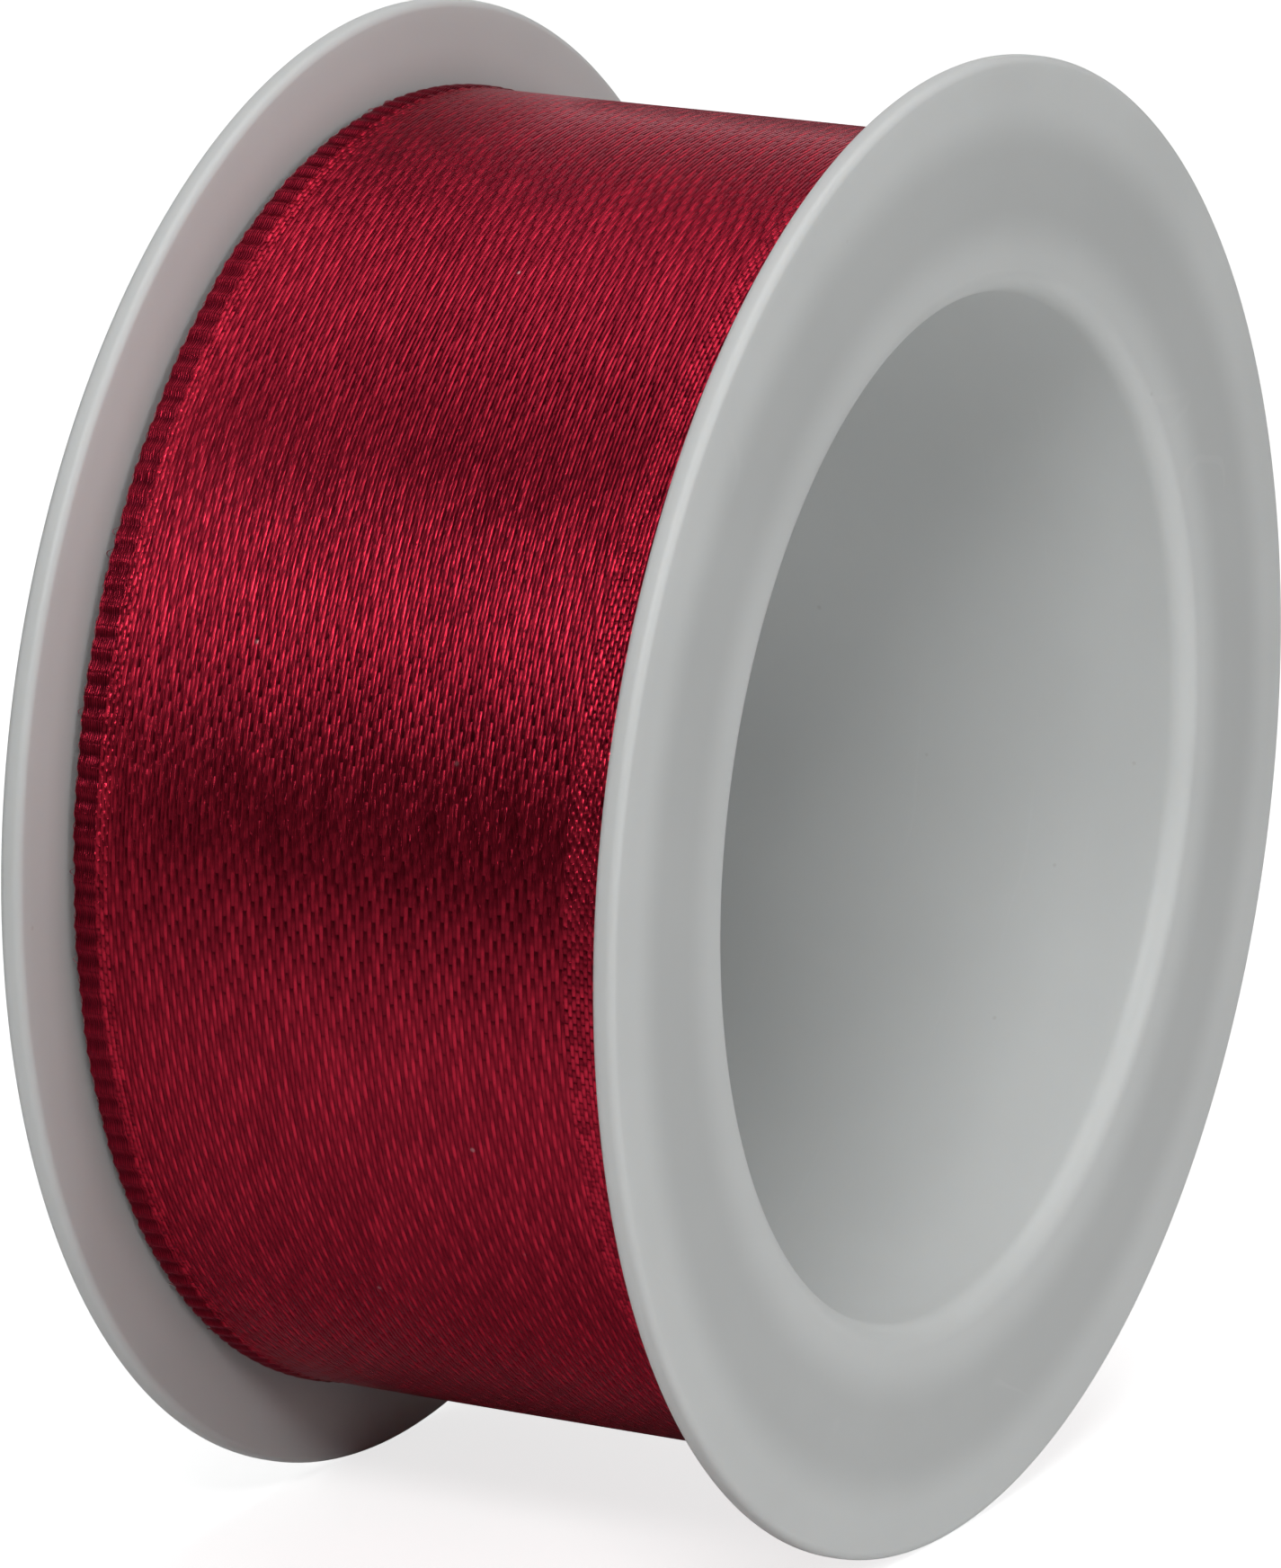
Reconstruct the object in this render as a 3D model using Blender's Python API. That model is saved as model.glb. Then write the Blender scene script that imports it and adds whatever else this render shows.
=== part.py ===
"""A small spool of satin ribbon, standing on its two rims.

The spool is moulded in two halves. The front half carries a long tube, and the rear half carries a
sleeve that slides over that tube and snaps onto it, so that the ribbon is wound on the sleeve. A patch
of tape starts the ribbon on the sleeve, and a strip of tape holds its free end. The free end peels off
the winding as a chain of short stretches, each hinged to the one before it.

The spool's axis is +Y, from the front flange to the rear flange, and its centre is the origin. Angles
are measured round that axis from +X towards +Z. The ribbon's free end lies on the +X side and points
down.
"""

import math

import bmesh
import bpy
from mathutils import Vector

# Ribbon, in metres.
RIBBON_WIDTH = 0.025
RIBBON_THICKNESS = 0.0002
RIBBON_TURNS = 19.25

# Spool.
FLANGE_RIM_HEIGHT = 0.00355
FLANGE_THICKNESS = 0.001
FLANGE_EDGE_RADIUS = 0.00035
BORE_RADIUS = 0.0213
BORE_MOUTH_RADIUS = 0.001
TUBE_WALL = 0.001
SLEEVE_WALL = 0.001
ROOT_FILLET = 0.0003
LEAD_IN = 0.0003
SHOULDER_DEPTH = 0.001
SNAP_BEAD_HEIGHT = 0.00045
SNAP_BEAD_WIDTH = 0.0012
SNAP_BEAD_INSET = 0.003

# Tape.
TAPE_THICKNESS = 0.0001
START_TAPE_WIDTH = 0.018
START_TAPE_LENGTH = 0.012
END_TAPE_WIDTH = 0.012
END_TAPE_LENGTH = 0.0158
END_TAPE_GRIP = 0.0066

# Clearances.
SEAT_GAP = 0.0003
RIBBON_SIDE_GAP = 0.0003
FILM_GAP = 0.0001
HINGE_GAP = 0.0003

# The ribbon's free end, in degrees round the axis.
TAIL_ANGLE = 50.0
TAIL_STRETCHES = 4
STRETCH_ANGLE = 15.0
START_TAPE_ANGLE = 200.0

# How finely round shapes are cut.
FACETS = 72
FACET_ANGLE = 360.0 / FACETS
MERGE_DISTANCE = 1e-7
SHARP_ANGLE = math.radians(30)

# Radii that follow from the sizes above.
TUBE_RADIUS = BORE_RADIUS + TUBE_WALL
SLEEVE_BORE_RADIUS = TUBE_RADIUS + SEAT_GAP
CORE_RADIUS = SLEEVE_BORE_RADIUS + SLEEVE_WALL
SNAP_BEAD_RADIUS = TUBE_RADIUS + SNAP_BEAD_HEIGHT
SNAP_GROOVE_RADIUS = SNAP_BEAD_RADIUS + SEAT_GAP
RIBBON_RADIUS = CORE_RADIUS + RIBBON_TURNS * RIBBON_THICKNESS
FLANGE_RADIUS = RIBBON_RADIUS + FLANGE_RIM_HEIGHT
OUTER_TURN_INNER_RADIUS = RIBBON_RADIUS - RIBBON_THICKNESS
START_TAPE_RADIUS = CORE_RADIUS + FILM_GAP
WINDING_INNER_RADIUS = START_TAPE_RADIUS + TAPE_THICKNESS + FILM_GAP
WINDING_OUTER_RADIUS = OUTER_TURN_INNER_RADIUS - FILM_GAP
END_TAPE_RADIUS = RIBBON_RADIUS + FILM_GAP
HINGE_RADIUS = RIBBON_RADIUS - RIBBON_THICKNESS / 2

# Places along the axis, measured from the spool's middle.
INNER_FACE = RIBBON_WIDTH / 2 + RIBBON_SIDE_GAP
OUTER_FACE = INNER_FACE + FLANGE_THICKNESS
SHOULDER = INNER_FACE - SHOULDER_DEPTH
TUBE_END = SHOULDER - SEAT_GAP
SLEEVE_END = -INNER_FACE + SEAT_GAP
SNAP_BEAD_PLACE = TUBE_END - SNAP_BEAD_INSET

# The gap between two stretches of ribbon, as an angle, and where the free end stops.
GAP_ANGLE = math.degrees(HINGE_GAP / HINGE_RADIUS)
TIP_ANGLE = TAIL_ANGLE - TAIL_STRETCHES * STRETCH_ANGLE


def clear_scene():
    """Remove every object of the scene."""
    for thing in list(bpy.data.objects):
        bpy.data.objects.remove(thing, do_unlink=True)


def make_material(name, colour, roughness, alpha=1.0):
    """Return a plain Principled material."""
    material = bpy.data.materials.new(name)
    material.use_nodes = True
    shader = material.node_tree.nodes["Principled BSDF"]
    shader.inputs["Base Color"].default_value = (*colour, 1.0)
    shader.inputs["Roughness"].default_value = roughness
    shader.inputs["Metallic"].default_value = 0.0
    shader.inputs["Alpha"].default_value = alpha
    material.diffuse_color = (*colour, alpha)
    return material


def round_axis(radius, along, angle):
    """Return the point at this radius and angle round the +Y axis, this far along it."""
    turn = math.radians(angle)
    return Vector((radius * math.cos(turn), along, radius * math.sin(turn)))


def corner_arc(radius, along, size, start, end, steps):
    """Return (radius, along) points on an arc of the turned profile, start and end in degrees.

    The arc's centre is at (radius, along), and 0 degrees points away from the axis.
    """
    points = []
    for step in range(steps + 1):
        turn = math.radians(start + (end - start) * step / steps)
        points.append((radius + size * math.cos(turn), along + size * math.sin(turn)))
    return points


def finished_object(name, mesh_data, material, origin=(0.0, 0.0, 0.0)):
    """Turn a bmesh, made in world coordinates, into a named object with its origin at this point."""
    bmesh.ops.remove_doubles(mesh_data, verts=mesh_data.verts, dist=MERGE_DISTANCE)
    bmesh.ops.recalc_face_normals(mesh_data, faces=mesh_data.faces)
    bmesh.ops.translate(mesh_data, verts=mesh_data.verts, vec=-Vector(origin))
    mesh = bpy.data.meshes.new(name)
    mesh_data.to_mesh(mesh)
    mesh_data.free()
    mesh.shade_smooth()
    mesh.set_sharp_from_angle(angle=SHARP_ANGLE)
    mesh.materials.append(material)
    thing = bpy.data.objects.new(name, mesh)
    thing.location = origin
    bpy.context.scene.collection.objects.link(thing)
    return thing


def turned(name, profile, material):
    """Turn a closed profile of (radius, along) points once round the axis.

    A flat of the faceted rim faces straight down, so that the spool stands on it.
    """
    mesh_data = bmesh.new()
    corners = [mesh_data.verts.new(round_axis(r, y, FACET_ANGLE / 2)) for r, y in profile]
    edges = [mesh_data.edges.new(pair) for pair in zip(corners, corners[1:] + corners[:1])]
    bmesh.ops.spin(
        mesh_data,
        geom=corners + edges,
        cent=(0.0, 0.0, 0.0),
        axis=(0.0, -1.0, 0.0),
        angle=2 * math.pi,
        steps=FACETS,
        use_merge=True,
    )
    return finished_object(name, mesh_data, material)


def band(name, inner, outer, width, start, end, material, origin=(0.0, 0.0, 0.0)):
    """Make a stretch of ribbon or tape that lies round the axis between two angles."""
    mesh_data = bmesh.new()
    section = [(inner, -width / 2), (outer, -width / 2), (outer, width / 2), (inner, width / 2)]
    corners = [mesh_data.verts.new(round_axis(r, y, start)) for r, y in section]
    mesh_data.faces.new(corners)
    bmesh.ops.spin(
        mesh_data,
        geom=mesh_data.verts[:] + mesh_data.edges[:] + mesh_data.faces[:],
        cent=(0.0, 0.0, 0.0),
        axis=(0.0, -1.0, 0.0),
        angle=math.radians(end - start),
        steps=max(1, round((end - start) / FACET_ANGLE)),
    )
    return finished_object(name, mesh_data, material, origin)


def rim_profile(inner_face, outer_face):
    """Return the flange's rounded rim, from its inner face to its outer face."""
    outwards = math.copysign(1.0, outer_face - inner_face)
    centre_radius = FLANGE_RADIUS - FLANGE_EDGE_RADIUS
    inner_centre = inner_face + outwards * FLANGE_EDGE_RADIUS
    outer_centre = outer_face - outwards * FLANGE_EDGE_RADIUS
    size = FLANGE_EDGE_RADIUS
    inner_edge = corner_arc(centre_radius, inner_centre, size, -90 * outwards, 0, 3)
    outer_edge = corner_arc(centre_radius, outer_centre, size, 0, 90 * outwards, 3)
    return inner_edge + outer_edge


def mouth_profile(outer_face):
    """Return the rounding from a flange's outer face into the bore."""
    outwards = math.copysign(1.0, outer_face)
    centre_radius = BORE_RADIUS + BORE_MOUTH_RADIUS
    centre_along = outer_face - outwards * BORE_MOUTH_RADIUS
    return corner_arc(centre_radius, centre_along, BORE_MOUTH_RADIUS, 90 * outwards, 180 * outwards, 6)


def root_profile(wall_radius, inner_face):
    """Return the fillet from the tube or sleeve's outer wall out to the flange's inner face."""
    outwards = math.copysign(1.0, inner_face)
    centre_radius = wall_radius + ROOT_FILLET
    centre_along = inner_face - outwards * ROOT_FILLET
    return corner_arc(centre_radius, centre_along, ROOT_FILLET, 180 * outwards, 90 * outwards, 3)


def snap_profile(low_radius, high_radius, gap, direction):
    """Return the snap bead, or the groove that clears it by this gap, along the axis.

    The bead's flanks rise over a quarter of its width, and direction is +1 or -1 along the axis.
    """
    half = SNAP_BEAD_WIDTH / 2 + gap
    crest = SNAP_BEAD_WIDTH / 4 + gap
    steps = ((-half, low_radius), (-crest, high_radius), (crest, high_radius), (half, low_radius))
    return [(radius, SNAP_BEAD_PLACE + direction * step) for step, radius in steps]


def front_half_profile():
    """Return the front half's profile: flange, bore mouth, long tube and snap bead."""
    bore = mouth_profile(-OUTER_FACE) + [(BORE_RADIUS, TUBE_END)]
    tube_end = [(TUBE_RADIUS - LEAD_IN, TUBE_END), (TUBE_RADIUS, TUBE_END - LEAD_IN)]
    bead = snap_profile(TUBE_RADIUS, SNAP_BEAD_RADIUS, 0.0, -1)
    flange = root_profile(TUBE_RADIUS, -INNER_FACE) + rim_profile(-INNER_FACE, -OUTER_FACE)
    return bore + tube_end + bead + flange


def rear_half_profile():
    """Return the rear half's profile: flange, bore mouth, shoulder, grooved sleeve."""
    bore = mouth_profile(OUTER_FACE) + [(BORE_RADIUS, SHOULDER), (SLEEVE_BORE_RADIUS, SHOULDER)]
    groove = snap_profile(SLEEVE_BORE_RADIUS, SNAP_GROOVE_RADIUS, SEAT_GAP / 2, -1)
    sleeve_end = [
        (SLEEVE_BORE_RADIUS, SLEEVE_END + LEAD_IN),
        (SLEEVE_BORE_RADIUS + LEAD_IN, SLEEVE_END),
        (CORE_RADIUS, SLEEVE_END),
    ]
    flange = root_profile(CORE_RADIUS, INNER_FACE) + rim_profile(INNER_FACE, OUTER_FACE)
    return bore + groove + sleeve_end + flange


def winding_profile():
    """Return the section of the wound turns under the last one."""
    half = RIBBON_WIDTH / 2
    return [
        (WINDING_INNER_RADIUS, -half),
        (WINDING_OUTER_RADIUS, -half),
        (WINDING_OUTER_RADIUS, half),
        (WINDING_INNER_RADIUS, half),
    ]


def build_spool(plastic):
    """Make the two moulded halves."""
    turned("front_spool_half", front_half_profile(), plastic)
    turned("rear_spool_half", rear_half_profile(), plastic)


def build_start_tape(film):
    """Make the patch of tape that starts the ribbon on the sleeve."""
    radius = START_TAPE_RADIUS
    reach = math.degrees(START_TAPE_LENGTH / radius) / 2
    start, end = START_TAPE_ANGLE - reach, START_TAPE_ANGLE + reach
    band("start_tape", radius, radius + TAPE_THICKNESS, START_TAPE_WIDTH, start, end, film)


def build_wound_ribbon(satin):
    """Make the wound turns, and the last turn, which stops where the free end begins."""
    turned("ribbon_winding", winding_profile(), satin)
    start = TAIL_ANGLE + GAP_ANGLE / 2
    end = TIP_ANGLE + 360.0 - GAP_ANGLE
    inner, outer = OUTER_TURN_INNER_RADIUS, RIBBON_RADIUS
    return band("ribbon_outer_turn", inner, outer, RIBBON_WIDTH, start, end, satin)


def hang_on(thing, parent):
    """Parent an unrotated object to another, keeping its place."""
    place = thing.matrix_world.translation.copy() if thing.parent else thing.location.copy()
    thing.parent = parent
    thing.matrix_parent_inverse.identity()
    thing.location = place - world_place(parent)


def world_place(thing):
    """Return where an unrotated object's origin is, through its parents."""
    place = thing.location.copy()
    while thing.parent:
        thing = thing.parent
        place += thing.location
    return place


def build_free_end(satin, film, outer_turn):
    """Make the hinged stretches of the ribbon's free end, and the tape on the last of them."""
    before = outer_turn
    for index in range(TAIL_STRETCHES):
        top = TAIL_ANGLE - index * STRETCH_ANGLE
        hinge = round_axis(HINGE_RADIUS, 0.0, top)
        is_last = index == TAIL_STRETCHES - 1
        start = top - STRETCH_ANGLE + (0.0 if is_last else GAP_ANGLE / 2)
        end = top - GAP_ANGLE / 2
        name = f"ribbon_tail_{index + 1}"
        inner, outer = OUTER_TURN_INNER_RADIUS, RIBBON_RADIUS
        stretch = band(name, inner, outer, RIBBON_WIDTH, start, end, satin, hinge)
        hang_on(stretch, before)
        before = stretch
    radius = END_TAPE_RADIUS
    top = TIP_ANGLE + math.degrees(END_TAPE_GRIP / radius)
    bottom = top - math.degrees(END_TAPE_LENGTH / radius)
    outer = radius + TAPE_THICKNESS
    tape = band("end_tape", radius, outer, END_TAPE_WIDTH, bottom, top, film, world_place(before))
    hang_on(tape, before)


def main():
    """Build the whole spool."""
    clear_scene()
    plastic = make_material("spool_plastic", (0.86, 0.86, 0.85), 0.42)
    satin = make_material("ribbon_satin", (0.23, 0.008, 0.03), 0.38)
    film = make_material("tape_film", (0.9, 0.9, 0.88), 0.15, 0.35)
    build_spool(plastic)
    build_start_tape(film)
    outer_turn = build_wound_ribbon(satin)
    build_free_end(satin, film, outer_turn)


main()
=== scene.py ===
"""A small spool of wine red satin ribbon, dressed for a picture in soft studio light.

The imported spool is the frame. Its two moulded halves are turned again more finely, and the ribbon
is wound as one long strip, from its free end with the tape on it to the turns on the sleeve.
Lengths are in metres. The spool's axis is +Y, and angles are measured round it from +X towards +Z.
"""

import logging
import math
from collections.abc import Callable, Mapping, Sequence
from dataclasses import dataclass, field
from enum import Enum

import bmesh
import bpy
import numpy as np
from bpy.types import Material, Node, NodeSocket, NodeTree, Object
from mathutils import Matrix, Vector

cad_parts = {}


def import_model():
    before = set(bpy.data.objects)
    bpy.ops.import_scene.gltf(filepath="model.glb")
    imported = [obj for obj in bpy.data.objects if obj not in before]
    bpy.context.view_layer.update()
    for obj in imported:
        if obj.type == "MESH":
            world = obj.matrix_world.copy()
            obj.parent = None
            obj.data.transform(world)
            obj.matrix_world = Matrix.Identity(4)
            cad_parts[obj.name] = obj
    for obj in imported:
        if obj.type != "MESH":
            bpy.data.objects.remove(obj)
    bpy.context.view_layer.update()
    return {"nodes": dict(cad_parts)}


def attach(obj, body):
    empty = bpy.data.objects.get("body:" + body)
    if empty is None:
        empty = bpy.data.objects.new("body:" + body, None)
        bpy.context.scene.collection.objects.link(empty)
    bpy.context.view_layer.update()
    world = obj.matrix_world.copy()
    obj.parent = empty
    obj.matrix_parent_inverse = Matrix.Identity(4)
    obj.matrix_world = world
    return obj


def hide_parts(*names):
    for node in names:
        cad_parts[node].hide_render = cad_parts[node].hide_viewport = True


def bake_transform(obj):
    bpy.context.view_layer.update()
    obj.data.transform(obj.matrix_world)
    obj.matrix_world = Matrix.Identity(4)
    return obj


LOG = logging.getLogger("ribbon_spool")
NEAR = 1e-6
RIB_PITCH = 0.00093


class End(Enum):
    """Which end of the spool a moulded half makes, as its direction along the axis."""

    FRONT = -1
    REAR = 1


class Zone(Enum):
    """The ribbon's woven zones, by how far they reach in from its edge, wider at the front."""

    SELVEDGE = 0.00100
    BORDER = 0.00158
    FRONT_BORDER = 0.00288


# Shader graphs


class Graph:
    """A node tree with short ways to add nodes and to join them."""

    def __init__(self, tree: NodeTree) -> None:
        """Keep the tree that the nodes go into."""
        self.tree = tree

    def add(self, kind: str, values: dict | None = None, **settings: object) -> Node:
        """Add a node.

        Args:
            kind: The node's type, without its ShaderNode prefix.
            values: Numbers or output sockets for its inputs, by input name or index.
            settings: The node's own properties.

        Returns:
            The new node.
        """
        node = self.tree.nodes.new(f"ShaderNode{kind}")
        for key, value in settings.items():
            setattr(node, key, value)
        for key, value in (values or {}).items():
            self.feed(node.inputs[key], value)
        return node

    def feed(self, target: NodeSocket, value: object) -> None:
        """Join an output socket to this input, or set the input's own value.

        Args:
            target: The input to fill.
            value: An output socket, or a plain value.
        """
        if isinstance(value, NodeSocket):
            self.tree.links.new(value, target)
        else:
            target.default_value = value

    def math(self, operation: str, *values: object, clamp: bool = False) -> NodeSocket:
        """Add a Math node and return its output."""
        node = self.add("Math", dict(enumerate(values)), operation=operation, use_clamp=clamp)
        return node.outputs[0]

    def ramp(self, value: object, low: float, high: float, to: tuple = (0.0, 1.0)) -> NodeSocket:
        """Return the value eased from to[0] at low to to[1] at high."""
        values = {0: value, 1: low, 2: high, 3: to[0], 4: to[1]}
        return self.add("MapRange", values, interpolation_type="SMOOTHSTEP").outputs[0]

    def mix(self, share: object, first: object, second: object, blend: str = "MIX") -> NodeSocket:
        """Return the first colour mixed with the second by this share."""
        values = {0: share, 6: first, 7: second}
        return self.add("Mix", values, data_type="RGBA", blend_type=blend).outputs[2]

    def noise(self, place: object, scale: float, detail: float = 2.0) -> NodeSocket:
        """Return a noise value at this place."""
        return self.add("TexNoise", {"Vector": place, "Scale": scale, "Detail": detail}).outputs[0]

    def join(self, x: object, y: object, z: object = 0.0) -> NodeSocket:
        """Return a vector of these three values."""
        return self.add("CombineXYZ", {0: x, 1: y, 2: z}).outputs[0]

    def flat_noise(self, x: object, y: object, scale: tuple, detail: float) -> NodeSocket:
        """Return noise about zero on a plane, with its own scale each way.

        Args:
            x: The place one way.
            y: The place the other way.
            scale: How many times a metre the noise changes, each way.
            detail: How many finer layers it has.

        Returns:
            A value from about -0.5 to 0.5.
        """
        place = self.join(self.math("MULTIPLY", x, scale[0]), self.math("MULTIPLY", y, scale[1]))
        values = {"Vector": place, "Scale": 1.0, "Detail": detail}
        noise = self.add("TexNoise", values, noise_dimensions="2D").outputs[0]
        return self.math("SUBTRACT", noise, 0.5)

    def draw(self, x: object, y: object) -> NodeSocket:
        """Return a random value of its own for each pair of numbers."""
        values = {"Vector": self.join(x, y)}
        return self.add("TexWhiteNoise", values, noise_dimensions="2D").outputs[0]

    def bump(self, shader: Node, height: object, strength: float = 1.0) -> None:
        """Bend the shader's normal by a height in metres."""
        values = {"Strength": strength, "Distance": 1.0, "Height": height}
        self.feed(shader.inputs["Normal"], self.add("Bump", values).outputs[0])


class EffectGroup:
    """A shader node group with named inputs and outputs, built once and placed in materials."""

    def __init__(self, name: str, inputs: dict[str, str], outputs: dict[str, str]) -> None:
        """Make the empty group.

        Args:
            name: The group's name.
            inputs: The kind of each input socket, by name.
            outputs: The kind of each output socket, by name.
        """
        self.tree = bpy.data.node_groups.new(name, "ShaderNodeTree")
        for direction, sockets in (("INPUT", inputs), ("OUTPUT", outputs)):
            for label, kind in sockets.items():
                kind = f"NodeSocket{kind}"
                self.tree.interface.new_socket(name=label, in_out=direction, socket_type=kind)
        self.graph = Graph(self.tree)
        self.source = self.tree.nodes.new("NodeGroupInput").outputs
        self.target = self.tree.nodes.new("NodeGroupOutput").inputs

    def give(self, **results: object) -> None:
        """Join these results to the outputs whose names they carry, with _ for a space."""
        for label, value in results.items():
            self.graph.feed(self.target[label.replace("_", " ")], value)

    def place(self, graph: Graph, values: dict) -> Node:
        """Put the group into a material's graph with these input values, and return its node.

        Args:
            graph: The material's graph.
            values: A value or a socket for each input, by its name.

        Returns:
            The group's node.
        """
        node = graph.tree.nodes.new("ShaderNodeGroup")
        node.node_tree = self.tree
        for label, value in values.items():
            graph.feed(node.inputs[label], value)
        return node


@dataclass(frozen=True)
class SatinWeave:
    """The satin's weave: long warp floats, and a ribbed selvedge along each edge.

    Heights, lengths and the yarns' wander are in metres, and the floats' shifts are shares of one.
    """

    yarn_wander: float = 0.00010
    float_wander: float = 0.20
    wander_scale: tuple[float, float] = (240.0, 160.0)
    selvedge_narrowing: float = 0.42
    border_float: float = 0.00056
    body_offset: float = 0.4
    border_offset: float = 0.5
    edge_shift: float = 0.03
    body_shift: float = 0.13
    arch_power: float = 3.3
    lift: float = 0.000032
    body_lift: float = 0.000016
    looseness: float = 0.000022
    picks: float = 5.0
    pick_height: float = 0.0000012
    yarn_height: float = 0.000026
    fibre_scale: tuple[float, float] = (42000.0, 800.0)
    fibre_height: float = 0.000012
    float_tone: float = 0.26
    pick_tone: float = 0.14
    # Painted highlight: a brighter dash on the middle of each float of the satin.
    painted_highlight_tone: float = 0.22
    painted_highlight_spread: float = 0.42
    painted_highlight_reach: tuple[float, float] = (0.12, 0.48)
    # Painted shade: the colour is darkened in the dips at the bindings, between the yarns and
    # between the ribs.
    dip_power: float = 0.8
    dip_shade: float = 0.50
    valley_shade: float = 0.38
    fibre_shade: float = 0.35
    rib_shade: float = 0.68

    def build(self) -> EffectGroup:
        """Build the weave's node group.

        Returns:
            A group that puts out a height in metres, a painted shade in the dips and between the
            yarns, a value for each float with a painted highlight on its middle, and a mask of the
            border beside the selvedge.
        """
        names = ("Across", "Along", "Half width", "Warp pitch", "Float length")
        inputs = dict.fromkeys(names, "Float")
        outputs = dict.fromkeys(("Height", "Shade", "Float value", "Border"), "Float")
        group = EffectGroup("satin_weave", inputs, outputs)
        g, given = group.graph, group.source
        along = given["Along"]
        selvedge, border, body = self.zones(g, given)
        drift = g.flat_noise(given["Across"], along, self.wander_scale, 2.0)
        across = g.math("MULTIPLY_ADD", drift, self.yarn_wander, given["Across"])
        narrower = g.math("MULTIPLY_ADD", selvedge, -self.selvedge_narrowing, 1.0)
        place = g.math("DIVIDE", across, g.math("MULTIPLY", given["Warp pitch"], narrower))
        warp = g.math("FLOOR", place)
        length = g.math("MULTIPLY", body, given["Float length"])
        length = g.math("MULTIPLY_ADD", border, self.border_float, length)
        length = g.math("MULTIPLY_ADD", selvedge, RIB_PITCH, length)
        straight = g.math("DIVIDE", along, length)
        offset = g.math("MULTIPLY", body, self.body_offset)
        offset = g.math("MULTIPLY_ADD", border, self.border_offset, offset)
        run = g.math("MULTIPLY_ADD", warp, offset, straight)
        run = g.math("ADD", run, self.shift(g, warp, body, drift))
        value = g.draw(warp, g.math("FLOOR", run))
        from_middle = g.math("ABSOLUTE", g.math("MULTIPLY_ADD", g.math("FRACT", run), 2.0, -1.0))
        arch = g.math("SUBTRACT", 1.0, g.math("POWER", from_middle, self.arch_power))
        side = g.math("MULTIPLY_ADD", g.math("FRACT", place), 2.0, -1.0)
        crown = g.math("SUBTRACT", 1.0, g.math("MULTIPLY", side, side))
        fibres = g.flat_noise(across, along, self.fibre_scale, 3.0)
        lift = g.math("MULTIPLY_ADD", value, self.looseness, self.body_lift)
        lift = g.math("MULTIPLY_ADD", body, lift, self.lift)
        ripple = g.math("COSINE", g.math("MULTIPLY", straight, math.tau * self.picks))
        ripple = g.math("MULTIPLY", ripple, body)
        height = g.math("MULTIPLY", arch, lift)
        height = g.math("MULTIPLY_ADD", ripple, self.pick_height, height)
        height = g.math("MULTIPLY_ADD", crown, self.yarn_height, height)
        height = g.math("MULTIPLY_ADD", fibres, self.fibre_height, height)
        # Painted highlight: the middle of each float gets a brighter tone, as if it caught the
        # light.
        lit = g.math("MULTIPLY", g.ramp(from_middle, *self.painted_highlight_reach, (1.0, 0.0)), body)
        pick = g.draw(warp, g.math("FLOOR", g.math("MULTIPLY", run, self.picks)))
        tone = g.math("MULTIPLY", value, self.float_tone)
        tone = g.math("MULTIPLY_ADD", pick, self.pick_tone, tone)
        painted_glint = g.math("MULTIPLY_ADD", value, self.painted_highlight_spread, self.painted_highlight_tone)
        tone = g.math("MULTIPLY_ADD", lit, painted_glint, tone)
        # Painted shade, multiplied together: dark between the ribs, in the dips and between the
        # yarns, with fibre noise.
        shade = self.between_ribs(g, along, selvedge)
        dip = g.math("POWER", arch, self.dip_power)
        for depth, floor in ((dip, self.dip_shade), (g.math("SQRT", crown), self.valley_shade)):
            shade = g.math("MULTIPLY", shade, g.math("MULTIPLY_ADD", depth, 1.0 - floor, floor))
        shade = g.math("MULTIPLY", shade, g.math("MULTIPLY_ADD", fibres, self.fibre_shade, 1.0))
        group.give(Height=height, Shade=shade, Float_value=tone, Border=border)
        return group

    def zones(self, g: Graph, given: Mapping) -> tuple[NodeSocket, ...]:
        """Return masks of the selvedge, of the border beside it and of the satin between them.

        Args:
            g: The weave's graph.
            given: The group's inputs, by their names.

        Returns:
            Three masks, each 1 inside its zone and 0 outside it.
        """
        inset = g.math("SUBTRACT", given["Half width"], g.math("ABSOLUTE", given["Across"]))
        selvedge = g.math("LESS_THAN", inset, Zone.SELVEDGE.value)
        front = g.math("LESS_THAN", given["Across"], 0.0)
        wider = Zone.FRONT_BORDER.value - Zone.BORDER.value
        edge = g.math("LESS_THAN", inset, g.math("MULTIPLY_ADD", front, wider, Zone.BORDER.value))
        return selvedge, g.math("SUBTRACT", edge, selvedge), g.math("SUBTRACT", 1.0, edge)

    def shift(self, g: Graph, warp: object, body: object, drift: object) -> NodeSocket:
        """Return how far each yarn's floats are shifted along it.

        Args:
            g: The weave's graph.
            warp: The yarn's number.
            body: The mask of the satin.
            drift: The yarns' slow wander.

        Returns:
            A shift, as a share of a float's length.
        """
        yarn = g.math("ADD", warp, 0.37)
        own = g.add("TexWhiteNoise", {"W": yarn}, noise_dimensions="1D").outputs[0]
        reach = g.math("MULTIPLY_ADD", body, self.body_shift, self.edge_shift)
        wobble = g.math("MULTIPLY", g.math("SUBTRACT", own, 0.5), reach)
        return g.math("MULTIPLY_ADD", drift, self.float_wander, wobble)

    def between_ribs(self, g: Graph, along: object, selvedge: object) -> NodeSocket:
        """Return the painted shade of the selvedge, dark between its ribs.

        Args:
            g: The weave's graph.
            along: The place along the ribbon.
            selvedge: The mask of the selvedge.

        Returns:
            A factor, 1 on the ribs and outside the selvedge.
        """
        wave = g.math("COSINE", g.math("MULTIPLY", along, math.tau / RIB_PITCH))
        between = g.math("MULTIPLY", g.math("MULTIPLY_ADD", wave, -0.5, 0.5), selvedge)
        return g.math("MULTIPLY_ADD", between, -self.rib_shade, 1.0)


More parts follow.
